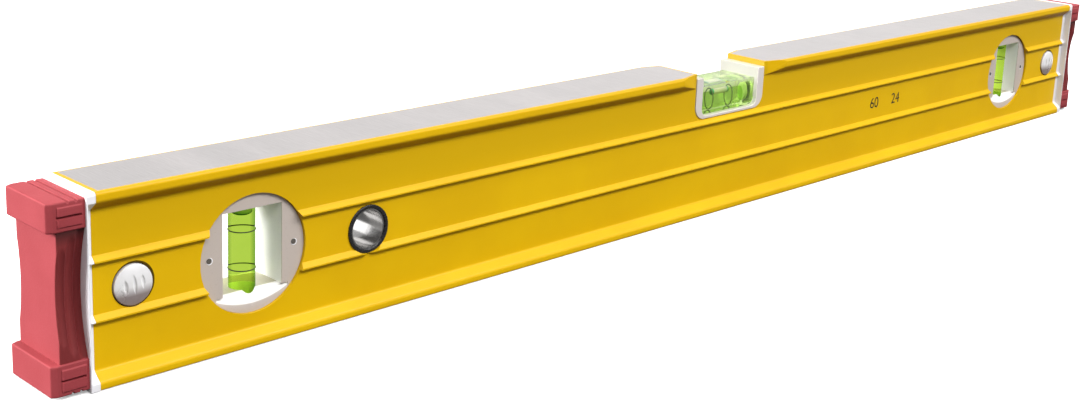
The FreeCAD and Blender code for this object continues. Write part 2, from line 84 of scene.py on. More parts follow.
# The scene's own sizes
GAP_R = BUTTON_R + 0.62 * MM   # painted shade: dark ring round each button, a little to the right of it and above
GAP_SHIFT_X, GAP_SHIFT_Z = 0.22 * MM, 0.18 * MM
PLUMB_BUBBLE_MORE = 1.3 * MM   # longer at its lower end than the solid
LIQUID_DROP, RING_DROP = 1.0 * MM, 0.35 * MM    # below the levelling vial's bore
BUBBLE_FLATNESS = 0.64         # height of the levelling bubble, of the solid rod's
DOME = 0.9 * MM                # height of the button's crown above its rim
DOME_SPHERE = (BUTTON_R ** 2 + DOME ** 2) / (2 * DOME)
GROOVE_TILT = math.radians(7.0)
GROOVE_STEP = 2.8 * MM
GROOVES = ((-1, 2.5 * MM), (0, 3.5 * MM), (1, 2.5 * MM))    # place in steps, half length
CROSS_GROOVES = (INSERT_FACE + 2.5 * MM, INSERT_FACE + 5.1 * MM)    # in the cap's top and bottom
CROSS_HALF = 0.4 * MM
PAD_START, PAD_END = INSERT_FACE + 1.0 * MM, INSERT_FACE + 8.4 * MM
PAD_MARGIN = 1.5 * MM          # from the block's top and bottom
SLOT_HALF = 0.36 * MM
FLUTE_WIDTH = 3.0 * MM
ACROSS = 20                    # faces across the cap's depth
FLUTED_ROWS = 56
TURN_COLUMNS = 8               # columns of the cap's plan past its bend


# ---------------------------------------------------------------- materials
class Tree:
    """Short names for building a node tree. A value is a number, a tuple or another node's output."""

    def __init__(self, tree, coordinates):
        self.tree = tree
        self.place = self.node("TexCoord").outputs[coordinates]

    def feed(self, socket, value):
        if isinstance(value, bpy.types.NodeSocket):
            self.tree.links.new(value, socket)
        elif socket.type == "RGBA":
            socket.default_value = (*value, 1.0)
        else:
            socket.default_value = value

    def fill(self, node, **inputs):
        """Sets a node's inputs by name. An underscore stands for a space."""
        for key, value in inputs.items():
            self.feed(node.inputs[key.replace("_", " ")], value)

    def node(self, kind, **inputs):
        node = self.tree.nodes.new("ShaderNode" + kind)
        self.fill(node, **inputs)
        return node

    def noise(self, scale, detail=4.0, rough=0.55, stretch=None):
        """Noise, finer along each axis by the three numbers of stretch."""
        place = self.place
        if stretch:
            place = self.node("Mapping", Scale=stretch, Vector=place).outputs["Vector"]
        return self.node("TexNoise", Scale=scale, Detail=detail, Roughness=rough, Vector=place).outputs["Fac"]

    def cells(self, scale):
        return self.node("TexVoronoi", Scale=scale, Vector=self.place).outputs["Distance"]

    def span(self, value, low, high, to_low=0.0, to_high=1.0):
        """Takes low to high over to to_low to to_high, and stays there beyond them."""
        node = self.node("MapRange", Value=value, From_Min=low, From_Max=high, To_Min=to_low, To_Max=to_high)
        return node.outputs["Result"]

    def graded(self, noise, to_low=0.0, to_high=1.0):
        """A noise, most of which is from 0.3 to 0.7, spread from to_low to to_high."""
        return self.span(noise, 0.3, 0.7, to_low, to_high)

    def math(self, kind, *values):
        node = self.node("Math")
        node.operation = kind
        for socket, value in zip(node.inputs, values):
            self.feed(socket, value)
        return node.outputs[0]

    def chain(self, kind, first, *others):
        for other in others:
            first = self.math(kind, first, other)
        return first

    def times(self, *values):
        return self.chain("MULTIPLY", *values)

    def most(self, *values):
        return self.chain("MAXIMUM", *values)

    def plus(self, a, b):
        return self.math("ADD", a, b)

    def minus(self, a, b):
        return self.math("SUBTRACT", a, b)

    def size(self, value):
        return self.math("ABSOLUTE", value)

    def above(self, value, limit):
        return self.math("GREATER_THAN", value, limit)

    def below(self, value, limit):
        return self.math("LESS_THAN", value, limit)

    def mix(self, share, a, b):
        """Colour a where share is 0 and b where it is 1."""
        node = self.node("Mix")
        node.data_type = "RGBA"
        for index, value in ((0, share), (6, a), (7, b)):
            self.feed(node.inputs[index], value)
        return node.outputs[2]

    def bump(self, height, distance, strength, **under):
        node = self.node("Bump", Height=height, Distance=distance, Strength=strength, **under)
        return node.outputs["Normal"]

    def parts(self, vector):
        return tuple(self.node("SeparateXYZ", Vector=vector).outputs)

    def axes(self):
        """The place on the surface, as three numbers."""
        return self.parts(self.place)

    def facing(self):
        """The surface's direction, as three numbers."""
        return self.parts(self.node("TexCoord").outputs["Normal"])

    def rays(self, *kinds):
        """1 for the given kinds of ray and 0 for all others."""
        path = self.node("LightPath")
        return self.most(*(path.outputs[kind] for kind in kinds))

    def either(self, share, first, second):
        """The first shader where share is 0 and the second where it is 1."""
        node = self.node("MixShader")
        for socket, value in zip(node.inputs, (share, first, second)):
            self.feed(socket, value)
        return node.outputs[0]


class Nodes(Tree):
    """One material's node tree, placed by the piece's own coordinates."""

    def __init__(self, name):
        self.material = bpy.data.materials.new(name)
        self.material.use_nodes = True
        super().__init__(self.material.node_tree, "Object")
        self.bsdf = self.tree.nodes["Principled BSDF"]

    def set(self, **values):
        self.fill(self.bsdf, **values)

    def show(self, shader):
        self.feed(self.tree.nodes["Material Output"].inputs[0], shader)


YELLOW = (0.690, 0.418, 0.001)
YELLOW_DEEP = (0.650, 0.382, 0.001)
YELLOW_GRAIN = (0.75, 0.49, 0.006)
# Painted shade of the coat, in paint()'s order: web top, up-facing top faces, undersides, button gaps, notch
# end walls
YELLOW_WEB_TOP_SHADE = (0.595, 0.360, 0.001)
YELLOW_TOP_SHADE = (0.50, 0.285, 0.002)
YELLOW_UNDERSIDE_SHADE = (0.44, 0.21, 0.001)
YELLOW_NOTCH_SHADE = (0.42, 0.27, 0.02)
GAP_SHADE = (0.075, 0.042, 0.001)
YELLOWED = (0.45, 0.40, 0.36)


def paint(m):
    """The coat's yellow, with painted shade by place and by the way the surface faces."""
    x, y, z = m.axes()
    end_facing, _, up_facing = m.facing()
    colour = m.mix(m.span(m.noise(38.0, 3.0), 0.35, 0.7), YELLOW, YELLOW_DEEP)
    colour = m.mix(m.span(m.noise(5200.0, 2.0, 0.6), 0.62, 0.8, 0.0, 0.25), colour, YELLOW_GRAIN)
    on_web = m.below(m.size(y), WEB_OUT + 0.5 * MM)
    # painted shade: the web darker towards its top
    web_top_shade = m.times(on_web, m.span(z, 30.0 * MM, 46.0 * MM))
    # painted shade: up-facing faces of the coat at the top made darker
    border = m.times(m.above(z, HEIGHT - 0.9 * MM), m.span(up_facing, 0.3, 0.8))
    # painted shade: faces that point downward made darker
    under = m.times(m.above(z, 1.0 * MM), m.span(up_facing, -0.25, -0.7))
    # painted shade round each button's hole, wider than the gap and shifted right and up
    gap_x = m.minus(m.size(m.minus(x, GAP_SHIFT_X)), BUTTON_X)
    gap_z = m.minus(z, BUTTON_Z + GAP_SHIFT_Z)
    away = m.plus(m.times(gap_x, gap_x), m.times(gap_z, gap_z))
    gap_shade = m.times(m.below(away, GAP_R ** 2), m.below(y, 0.0))
    # painted shade: the notch's end walls made darker
    notch = m.times(m.below(m.size(x), NOTCH_HALF + 0.3 * MM), m.span(m.size(end_facing), 0.4, 0.8))
    for share, shade in ((web_top_shade, YELLOW_WEB_TOP_SHADE), (border, YELLOW_TOP_SHADE), (under, YELLOW_UNDERSIDE_SHADE),
                         (gap_shade, GAP_SHADE), (notch, YELLOW_NOTCH_SHADE)):
        colour = m.mix(share, colour, shade)
    return colour


def milled_metal(m):
    """Bare metal with fine milling lines across the level."""
    lines = m.noise(1.0, 3.0, 0.7, (3200.0, 120.0, 120.0))
    broad = m.noise(1.0, 2.0, 0.5, (90.0, 8.0, 8.0))
    bare = m.mix(m.graded(lines), (0.56, 0.53, 0.525), (0.67, 0.64, 0.635))
    bare = m.mix(m.span(broad, 0.35, 0.7, 0.0, 0.15), bare, (0.52, 0.49, 0.485))
    shader = m.node("BsdfPrincipled", Base_Color=bare, Metallic=0.9, Roughness=m.graded(broad, 0.34, 0.46),
                    Normal=m.bump(lines, 0.03 * MM, 0.6))
    return shader.outputs[0]


def milled(m):
    """1 where the top and base are milled: inside the painted border, which widens at the notch."""
    x, y, z = m.axes()
    along, across = m.size(x), m.size(y)
    wobble = m.graded(m.noise(420.0, 2.0), -0.12 * MM, 0.12 * MM)
    wavy_along, wavy_across = m.plus(along, wobble), m.plus(across, wobble)
    face = m.most(m.above(z, HEIGHT - 0.06 * MM), m.below(z, 0.06 * MM))
    inside = m.times(m.below(wavy_across, HALF_DEPTH - 1.5 * MM), m.below(wavy_along, PROFILE_END - 1.3 * MM))
    flare = HALF_DEPTH - WEB_OUT
    slope = math.hypot(RUNOUT, flare)
    ahead = m.times(m.minus(along, NOTCH_HALF), flare / slope)
    aside = m.times(m.minus(across, WEB_OUT), RUNOUT / slope)
    past_runout = m.above(m.minus(ahead, aside), 1.0 * MM)
    past_notch = m.above(wavy_along, NOTCH_HALF + 1.1 * MM)
    clear = m.most(m.times(past_runout, past_notch), m.below(z, HEIGHT / 2))
    return m.times(face, inside, clear)


def body_material():
    """Yellow powder coat, with the measuring faces milled bare inside a thin painted border."""
    m = Nodes("yellow_coat_and_milled_faces")
    peel = m.noise(1500.0, 2.0, 0.5)
    m.set(Base_Color=paint(m), Roughness=m.graded(peel, 0.30, 0.42), Normal=m.bump(peel, 0.06 * MM, 0.5),
          Specular_IOR_Level=0.2)
    m.show(m.either(milled(m), m.bsdf.outputs[0], milled_metal(m)))
    return m.material


def rubber_material():
    """Red rubber with a pitted grain, with painted shade on the side faces of its fluted waist and a painted
    shadow at the waist's top, under the top block.
    """
    m = Nodes("red_cap_rubber")
    grain = m.noise(2600.0, 3.0, 0.6)
    colour = m.mix(m.graded(m.noise(70.0, 4.0)), (0.275, 0.033, 0.040), (0.305, 0.041, 0.049))
    colour = m.mix(m.span(grain, 0.55, 0.85, 0.0, 0.5), colour, (0.34, 0.055, 0.062))
    height, sideways = m.axes()[2], m.size(m.facing()[1])
    # painted shade: the waist's side faces made darker
    waist = m.times(m.above(height, BASE_TOP + 0.1 * MM), m.below(height, TOP_LOW - 0.1 * MM),
                    m.span(sideways, 0.4, 0.7))
    colour = m.mix(waist, colour, (0.165, 0.016, 0.017))
    # painted shadow under the top block, at the waist's top
    shadow_under_top_block = m.times(waist, m.span(height, 45.0 * MM, 48.6 * MM, 0.0, 0.85))
    colour = m.mix(shadow_under_top_block, colour, (0.035, 0.004, 0.004))
    pits = m.bump(m.cells(1400.0), 0.06 * MM, 0.3)
    m.set(Base_Color=colour, Roughness=m.graded(grain, 0.62, 0.74), Specular_IOR_Level=0.35,
          Normal=m.bump(grain, 0.10 * MM, 0.5, Normal=pits))
    return m.material


def moulding(m, colour, roughness):
    """Gives a colour the fine grain of moulded plastic, in its bump and its gloss."""
    grain = m.noise(1800.0, 3.0, 0.6)
    m.set(Base_Color=colour, Roughness=m.graded(grain, *roughness), Normal=m.bump(grain, 0.03 * MM, 0.5))
    return m.material


def moulded(name, light, dark, roughness=(0.32, 0.44)):
    """Moulded plastic, faintly mottled."""
    m = Nodes(name)
    return moulding(m, m.mix(m.graded(m.noise(90.0, 3.0)), light, dark), roughness)


def holder_plastic(m, face_y, face, inner):
    """Plastic with a grained face at face_y and the inner colour behind it, yellowed in places."""
    behind = m.span(m.size(m.axes()[1]), face_y, face_y - 0.12 * MM)
    aged = m.graded(m.noise(90.0, 3.0), 0.0, 0.12)
    return moulding(m, m.mix(aged, m.mix(behind, face, inner), YELLOWED), (0.26, 0.38))


def holder_material():
    """Plumb vials' holders: smooth surfaces behind the face, painted brighter than the face and brightest
    where they face the ends, as painted light, and painted shade that makes the ledge olive.
    """
    m = Nodes("white_holder_plastic")
    end_facing, _, up_facing = m.facing()
    # painted shade: the up-facing ledge deep inside made olive-dark
    ledge = m.times(m.span(up_facing, 0.4, 0.8), m.span(m.size(m.axes()[1]), 6.4 * MM, 5.8 * MM))
    # painted light: surfaces behind the face brighter than the face, brightest on walls that face the ends
    inner = m.mix(m.span(m.size(end_facing), 0.6, 0.9), (0.84, 0.82, 0.79), (0.97, 0.965, 0.955))
    inner = m.mix(ledge, inner, (0.40, 0.37, 0.26))
    return holder_plastic(m, HOLDER_FACE - 0.15 * MM, (0.49, 0.425, 0.38), inner)


def cradle_material():
    """Levelling vial's cradle, with painted shade on the surfaces behind its face: the pocket's floor
    brighter than its two walls.
    """
    m = Nodes("white_cradle_plastic")
    end_facing, _, up_facing = m.facing()
    # painted shade: surfaces behind the face darker than the face, the floor a little darker still
    inner = m.mix(m.span(up_facing, 0.4, 0.8), (0.50, 0.49, 0.42), (0.46, 0.46, 0.36))
    # painted shade: walls that face the ends darkest
    inner = m.mix(m.span(m.size(end_facing), 0.5, 0.8), inner, (0.39, 0.38, 0.34))
    return holder_plastic(m, 9.9 * MM, (0.62, 0.575, 0.55), inner)


def metal(name, light, dark, roughness, stretch, metallic=1.0):
    """Bare metal with fine lines that run across the stretch's largest direction."""
    m = Nodes(name)
    lines = m.noise(1.0, 3.0, 0.7, stretch)
    broad = m.noise(150.0, 3.0)
    colour = m.mix(m.graded(lines), light, dark)
    colour = m.mix(m.span(broad, 0.4, 0.8, 0.0, 0.3), colour, dark)
    m.set(Base_Color=colour, Metallic=metallic, Roughness=m.graded(broad, *roughness),
          Normal=m.bump(lines, 0.02 * MM, 0.5))
    return m.material


def button_material():
    """Satin metal with a painted reflection of a pale floor: bright above, grey-brown below, with painted
    highlights on flanks that face +X and painted shade on flanks that face −X.
    """
    m = Nodes("satin_button_metal")
    lines = m.noise(1.0, 3.0, 0.7, (500.0, 60.0, 500.0))
    broad = m.noise(150.0, 3.0)
    end_facing = m.facing()[0]
    # painted reflection: bright above the button's axis, grey-brown below it
    low = m.span(m.axes()[2], BUTTON_Z - 0.2 * MM, BUTTON_Z - 3.2 * MM)
    # painted shade on faces that face −X, painted highlight on faces that face +X
    low = m.plus(low, m.span(end_facing, -0.3, -0.6, 0.0, 0.32))
    shade = m.minus(low, m.span(end_facing, 0.25, 0.55, 0.0, 0.75))
    colour = m.mix(shade, (0.96, 0.95, 0.955), (0.33, 0.27, 0.265))
    colour = m.mix(m.graded(lines, 0.0, 0.12), colour, (0.55, 0.52, 0.51))
    m.set(Base_Color=colour, Metallic=0.3, Roughness=m.graded(broad, 0.22, 0.30),
          Normal=m.bump(lines, 0.004 * MM, 0.5))
    return m.material


def liquid_material():
    """Levelling vial's liquid, slightly uneven in tint."""
    m = Nodes("yellow_green_liquid")
    tint = m.mix(m.graded(m.noise(120.0, 2.0)), (0.60, 0.77, 0.30), (0.55, 0.73, 0.26))
    gloss = m.graded(m.noise(900.0, 2.0), 0.0, 0.02)
    m.set(Base_Color=tint, Transmission_Weight=1.0, IOR=1.02, Roughness=gloss)
    return m.material


def vial_material():
    """Green tube filled with liquid, with painted shade: deeper green on the side that faces front and right.
    """
    m = Nodes("green_vial")
    x, y, _ = m.facing()
    # painted shade on the side that faces front and right
    side = m.span(m.minus(m.times(x, 0.64), m.times(y, 0.77)), 0.80, 1.0)
    colour = m.mix(m.graded(m.noise(120.0, 2.0)), (0.50, 0.71, 0.085), (0.46, 0.68, 0.070))
    m.set(Base_Color=m.mix(side, colour, (0.10, 0.27, 0.03)), Transmission_Weight=1.0, IOR=1.07,
          Roughness=0.01)
    return m.material


def block_material():
    """Clear block, green through its front, with painted light that makes it paler towards its top and
    painted shade dark at its back edge.
    """
    m = Nodes("pale_green_block")
    patches = m.noise(120.0, 2.0)
    _, depth, height = m.axes()
    colour = m.mix(m.graded(patches), (0.47, 0.63, 0.23), (0.43, 0.59, 0.20))
    # painted light: paler towards the top
    colour = m.mix(m.span(height, 50.0 * MM, 52.3 * MM), colour, (0.84, 0.89, 0.66))
    # painted shade: dark line along the back top edge
    edge = m.times(m.span(depth, 7.3 * MM, 7.7 * MM), m.span(height, 51.6 * MM, 52.0 * MM))
    m.set(Base_Color=m.mix(edge, colour, (0.30, 0.33, 0.16)), Transmission_Weight=0.94, IOR=1.42,
          Roughness=m.graded(patches, 0.0, 0.03))
    return m.material


def air(name, axis, rims, pale, rim):
    """Air in the liquid: pale, with dark rims of painted shade that start and end at the given places along
    an axis.
    """
    m = Nodes(name)
    place = m.axes()[axis]
    # painted shade: the dark rims along the axis
    share = m.most(*(m.span(place, start, end) for start, end in rims))
    deeper = tuple(0.93 * part for part in pale)
    colour = m.mix(share, m.mix(m.graded(m.noise(300.0, 2.0)), pale, deeper), rim)
    m.set(Base_Color=colour, Transmission_Weight=0.55, IOR=1.05, Roughness=0.08)
    return m.material


COAT = body_material()
RUBBER = rubber_material()
WHITE = moulded("white_insert_plastic", (0.83, 0.82, 0.85), (0.79, 0.78, 0.81))
HOLDER = holder_material()
CRADLE = cradle_material()
BLACK = moulded("black_collar_plastic", (0.012, 0.012, 0.013), (0.02, 0.02, 0.022), (0.2, 0.34))
CORE = moulded("black_core_plastic", (0.02, 0.02, 0.022), (0.035, 0.035, 0.037), (0.45, 0.6))
PLUG = moulded("pale_plug_plastic", (0.55, 0.60, 0.25), (0.48, 0.54, 0.20), (0.3, 0.45))
DEEP_PLUG = moulded("green_plug_plastic", (0.32, 0.44, 0.13), (0.27, 0.39, 0.10), (0.3, 0.45))
INK = moulded("black_ink", (0.010, 0.009, 0.008), (0.018, 0.016, 0.012), (0.35, 0.5))
LINE = moulded("dark_ring_ink", (0.030, 0.055, 0.010), (0.022, 0.040, 0.008), (0.35, 0.5))
# painted shade inside the pin holes
PIT_SHADE = moulded("pin_hole_painted_shade", (0.11, 0.10, 0.085), (0.08, 0.07, 0.06), (0.4, 0.6))
BUTTON = button_material()
SLEEVE = metal("polished_sleeve", (0.62, 0.61, 0.60), (0.50, 0.49, 0.48), (0.12, 0.22), (90.0, 2200.0, 90.0))
SPRING = metal("spring_steel", (0.45, 0.46, 0.48), (0.33, 0.34, 0.36), (0.25, 0.38), (60.0, 60.0, 1900.0))
KEEPER = metal("zinc_plated_keeper", (0.55, 0.56, 0.57), (0.44, 0.45, 0.47), (0.28, 0.42),
               (900.0, 300.0, 100.0))
MAGNET = metal("ceramic_magnet", (0.075, 0.075, 0.08), (0.045, 0.045, 0.05), (0.42, 0.6),
               (300.0, 1500.0, 100.0), 0.3)
VIAL = vial_material()
BLOCK = block_material()
LIQUID = liquid_material()
# painted shade: dark rims near both ends of the levelling bubble
LEVEL_AIR = air("level_bubble_air", 0, ((4.2 * MM, 4.8 * MM), (-4.2 * MM, -4.8 * MM)),
                (0.60, 0.57, 0.50), (0.01, 0.30, 0.10))
# dark rims of painted shade for the levelling bubble's ends
RIM_SHADE = moulded("painted_shade_bubble_rim", (0.006, 0.22, 0.085), (0.004, 0.17, 0.07), (0.12, 0.22))
# painted shade: dark rim at the plumb bubble's lower end, with the pale above it a painted highlight
PLUMB_AIR = air("plumb_bubble_air", 2, ((41.4 * MM, 40.4 * MM),), (0.80, 0.90, 0.62), (0.03, 0.22, 0.02))


# ---------------------------------------------------------------- mesh helpers
def linked(name, data):
    """A new object in the scene."""
    piece = bpy.data.objects.new(name, data)
    scene.collection.objects.link(piece)
    return piece


def mesh_object(bm, name):
    mesh = bpy.data.meshes.new(name)
    bm.to_mesh(mesh)
    bm.free()
    return linked(name, mesh)


def sharp_edges(bm, degrees):
    limit = math.radians(degrees)
    return [e for e in bm.edges if len(e.link_faces) == 2 and e.calc_face_angle(0.0) > limit]


def finish_mesh(bm, name, body, slot, material, replaces=(), sharp=38.0):
    """Turns a bmesh into a shown piece: smooth but for sharp edges, riding on its body."""
    bmesh.ops.recalc_face_normals(bm, faces=bm.faces)
    for face in bm.faces:
        face.smooth = True
    for edge in sharp_edges(bm, sharp):
        edge.smooth = False
    piece = mesh_object(bm, name)
    piece.data.materials.append(material)
    piece.modifiers.new("weighted", "WEIGHTED_NORMAL").keep_sharp = True
    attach(piece, body)
    if replaces:
        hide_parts(*replaces)
    return piece


def clear_piece(*described):
    """A finished piece that lets lamplight through."""
    finish_mesh(*described).visible_shadow = False


def welded(node):
    """The CAD node's mesh, with its double points joined."""
    bm = bmesh.new()
    bm.from_mesh(nodes[node].data)
    bmesh.ops.remove_doubles(bm, verts=bm.verts, dist=0.001 * MM)
    return bm


def flat_joined(node):
    """The welded mesh, with its flat triangles joined."""
    bm = welded(node)
    bmesh.ops.dissolve_limit(bm, angle_limit=math.radians(0.6), verts=bm.verts, edges=bm.edges)
    return bm


def round_off(bm, edges, width, segments):
    bmesh.ops.bevel(bm, geom=edges, offset=width, offset_type="OFFSET", segments=segments, profile=0.5,
                    affect="EDGES", clamp_overlap=True)


def softened(node, body, slot, material, width, segments=3, sharp=32.0):
    """The CAD node with its sharp edges rounded."""
    bm = flat_joined(node)
    round_off(bm, sharp_edges(bm, sharp), width, segments)
    bmesh.ops.dissolve_degenerate(bm, dist=0.0001 * MM, edges=bm.edges)
    finish_mesh(bm, node + "_skin", body, slot, material, (node,))


def join_rings(bm, rings, turns):
    """Faces from each ring of points to the next. A ring may be a single point."""
    for low, high in zip(rings, rings[1:]):
        for i in range(turns):
            j = (i + 1) % turns
            if len(low) == 1 and len(high) == 1:
                continue
            if len(low) == 1:
                bm.faces.new((low[0], high[i], high[j]))
            elif len(high) == 1:
                bm.faces.new((low[i], low[j], high[0]))
            else:
                bm.faces.new((low[i], low[j], high[j], high[i]))


def lathe(bm, profile, centre, axis, turns=72):
    """Turns a (radius, height) profile about an axis through centre. Zero radii close it."""
    axis = Vector(axis).normalized()
    side = axis.orthogonal().normalized()
    other = axis.cross(side)
    rings = []
    for radius, height in profile:
        base = Vector(centre) + axis * height
        if radius <= 0:
            rings.append([bm.verts.new(base)])
            continue
        ring = []
        for i in range(turns):
            angle = 2 * math.pi * i / turns
            ring.append(bm.verts.new(base + (side * math.cos(angle) + other * math.sin(angle)) * radius))
        rings.append(ring)
    join_rings(bm, rings, turns)


def capsule(bm, centre, axis, low, high, radius, cap):
    """A round bar with domed ends, cap long."""
    steps = 8
    angles = [math.pi / 2 * i / steps for i in range(1, steps + 1)]
    start = [(radius * math.sin(a), low + cap * (1 - math.cos(a))) for a in angles]
    end = [(radius * math.sin(a), high - cap * (1 - math.cos(a))) for a in angles[::-1]]
    lathe(bm, [(0, low)] + start + end + [(0, high)], centre, axis)


def reading_rings(name, centre, axis, radius, wire):
    """Two thin dark rings round a vial, at equal distances from centre."""
    around = 8
    bm = bmesh.new()
    for offset in (-RING_SPACING / 2, RING_SPACING / 2):
        section = []
        for i in range(around + 1):
            angle = 2 * math.pi * i / around
            section.append((radius + wire * math.cos(angle), wire * math.sin(angle)))
        lathe(bm, section, Vector(centre) + Vector(axis) * offset, axis)
        bmesh.ops.remove_doubles(bm, verts=bm.verts, dist=0.0001 * MM)
    finish_mesh(bm, name, "level", "plug_plastic", LINE)


# ---------------------------------------------------------------- pieces
def profile_body():
    """The profile with bull-nosed lips and its other edges slightly rounded."""
    bm = flat_joined("body_profile")
    lips = [e for e in sharp_edges(bm, 22.0)
            if all(abs(v.co.y) > HALF_DEPTH - 0.05 * MM for v in e.verts)
            and abs(e.verts[0].co.x - e.verts[1].co.x) > 1 * MM]
    round_off(bm, lips, 0.75 * MM, 4)
    round_off(bm, sharp_edges(bm, 26.0), 0.15 * MM, 2)
    finish_mesh(bm, "body_profile_skin", "level", "body_paint", COAT, ("body_profile",))


def plain_fittings():
    """The CAD nodes that keep their own shape."""
    softened("vial_cradle", "level", "holder_plastic", CRADLE, 0.35 * MM)
    softened("hang_sleeve", "level", "sleeve_metal", SLEEVE, 0.15 * MM, 2)
    for side in ("front", "back"):
        softened("hang_collar_" + side, "level", "collar_plastic", BLACK, 0.22 * MM)
    for side, _ in SIDES:
        softened("end_insert_" + side, "level", "insert_plastic", WHITE, 0.22 * MM, 3, 22.0)
        softened("cap_core_" + side, "cap_" + side, "core_plastic", CORE, 0.2 * MM, 2)
        softened("button_spring_" + side, "level", "spring_steel", SPRING, 0.06 * MM, 2)
        softened("plumb_vial_plug_" + side, "level", "plug_plastic", PLUG, 0.2 * MM, 2)
        for half in ("front", "back"):
            node = "vial_holder_%s_%s" % (half, side)
            finish_mesh(welded(node), node + "_skin", "level", "holder_plastic", HOLDER, (node,), 30.0)
    softened("levelling_vial_plug", "level", "plug_plastic", DEEP_PLUG, 0.2 * MM, 2)
    for number in range(1, 5):
        softened("magnet_keeper_%d" % number, "level", "keeper_steel", KEEPER, 0.2 * MM)
        softened("magnet_%d" % number, "level", "magnet_black", MAGNET, 0.25 * MM)


def plumb_vials():
    """Tubes filled with liquid, their reading rings and their bubbles."""
    edge = 0.4 * MM
    tube = [(0, TUBE_LOW), (TUBE_R - edge, TUBE_LOW), (TUBE_R, TUBE_LOW + edge),
            (TUBE_R, TUBE_HIGH - edge), (TUBE_R - edge, TUBE_HIGH), (0, TUBE_HIGH)]
    for side, sign in SIDES:
        x = sign * WINDOW_X
        bm = bmesh.new()
        lathe(bm, tube, (x, TUBE_Y, 0), Z_AXIS, 96)
        clear_piece(bm, "plumb_vial_" + side, "level", "vial_clear", VIAL, ("plumb_vial_tube_" + side,))
        reading_rings("plumb_rings_" + side, (x, TUBE_Y, WINDOW_Z), Z_AXIS, TUBE_R + 0.02 * MM, 0.2 * MM)
        low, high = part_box("plumb_vial_bubble_" + side)
        bm = bmesh.new()
        capsule(bm, (x, TUBE_Y, 0), Z_AXIS, low.z - PLUMB_BUBBLE_MORE, high.z, (high.x - low.x) / 2, 1.2 * MM)
        clear_piece(bm, "plumb_bubble_" + side, "bubble_" + side, "bubble_air", PLUMB_AIR,
                    ("plumb_vial_bubble_" + side,))


def vial_block():
    """The clear block as one filled piece with rounded lower corners."""
    low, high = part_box("levelling_vial_block")
    low.z += 0.04 * MM
    points = [(high.x, high.z), (low.x, high.z)]
    for middle, start in ((low.x + BLOCK_CORNER, math.pi), (high.x - BLOCK_CORNER, 1.5 * math.pi)):
        for i in range(11):
            angle = start + math.pi / 2 * i / 10
            points.append((middle + BLOCK_CORNER * math.cos(angle),
                           low.z + BLOCK_CORNER * (1 + math.sin(angle))))
    bm = bmesh.new()
    front, back = ([bm.verts.new((x, y, z)) for x, z in points] for y in (low.y, high.y))
    bm.faces.new(front)
    bm.faces.new(back[::-1])
    for i in range(len(points)):
        j = (i + 1) % len(points)
        bm.faces.new((front[i], back[i], back[j], front[j]))
    round_off(bm, sharp_edges(bm, 32.0), 0.35 * MM, 3)
    clear_piece(bm, "levelling_block", "level", "vial_clear", BLOCK, ("levelling_vial_block",))


def flatten(bm, top):
    """Presses the levelling bubble against the top of its bore."""
    for vert in bm.verts:
        vert.co.z = top - (top - vert.co.z) * BUBBLE_FLATNESS


def levelling_vial():
    """Block, liquid, reading rings and the bubble with a dark rim of painted shade near each end."""
    vial_block()
    plug_low, plug_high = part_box("levelling_vial_plug")
    bore_z = (plug_low.z + plug_high.z) / 2
    bm = bmesh.new()
    capsule(bm, (0, 0, bore_z - LIQUID_DROP), X_AXIS, -NOTCH_HALF + 6.0 * MM, plug_low.x - 0.2 * MM,
            3.6 * MM, 1.0 * MM)
    clear_piece(bm, "levelling_liquid", "level", "vial_clear", LIQUID)
    reading_rings("levelling_rings", (0, 0, bore_z - RING_DROP), X_AXIS, 4.3 * MM, 0.26 * MM)
    low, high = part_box("levelling_vial_bubble")
    radius = (high.z - low.z) / 2
    centre = (low + high) / 2
    centre.x = 0
    bm = bmesh.new()
    capsule(bm, centre, X_AXIS, low.x, high.x, radius, 1.6 * MM)
    flatten(bm, high.z)
    clear_piece(bm, "levelling_bubble", "bubble_level", "bubble_air", LEVEL_AIR, ("levelling_vial_bubble",))
    # painted shade: a dark ring near each end of the levelling bubble
    rim_start, rim_out, rim_length = 4.6 * MM, radius + 0.05 * MM, 1.0 * MM
    shape = [(radius + 0.03 * MM, 4.3 * MM), (rim_out, rim_start)]
    for i in range(1, 6):
        angle = math.pi / 2 * i / 6
        shape.append((rim_out * math.cos(angle), rim_start + rim_length * math.sin(angle)))
    bm = bmesh.new()
    for sign in (-1, 1):
        lathe(bm, shape, centre, (sign, 0, 0), 48)
    flatten(bm, high.z)
    clear_piece(bm, "levelling_bubble_rim_shades", "bubble_level", "bubble_air", RIM_SHADE)


def spindle(across, along, half):
    """Depth of a groove that is pointed at both ends and widest in its upper half."""
    share = (along + half) / (2 * half)
    if not 0 < share < 1:
        return 0.0
    swell = math.sin(math.pi * share ** 1.35)
    reach = abs(across) / (0.72 * MM * swell ** 0.7 + 1e-6)
    return 0.48 * MM * swell * (1 - reach ** 2) if reach < 1 else 0.0


def crown(dx, dz):
    """How far the grooved dome stands out from the middle plane. dx and dz are from the button's axis."""
    dome = BUTTON_RIM + DOME - (DOME_SPHERE - math.sqrt(DOME_SPHERE ** 2 - dx ** 2 - dz ** 2))
    across = dx * math.cos(GROOVE_TILT) - dz * math.sin(GROOVE_TILT)
    along = dx * math.sin(GROOVE_TILT) + dz * math.cos(GROOVE_TILT)
    return dome - max(spindle(across - step * GROOVE_STEP, along, half) for step, half in GROOVES)


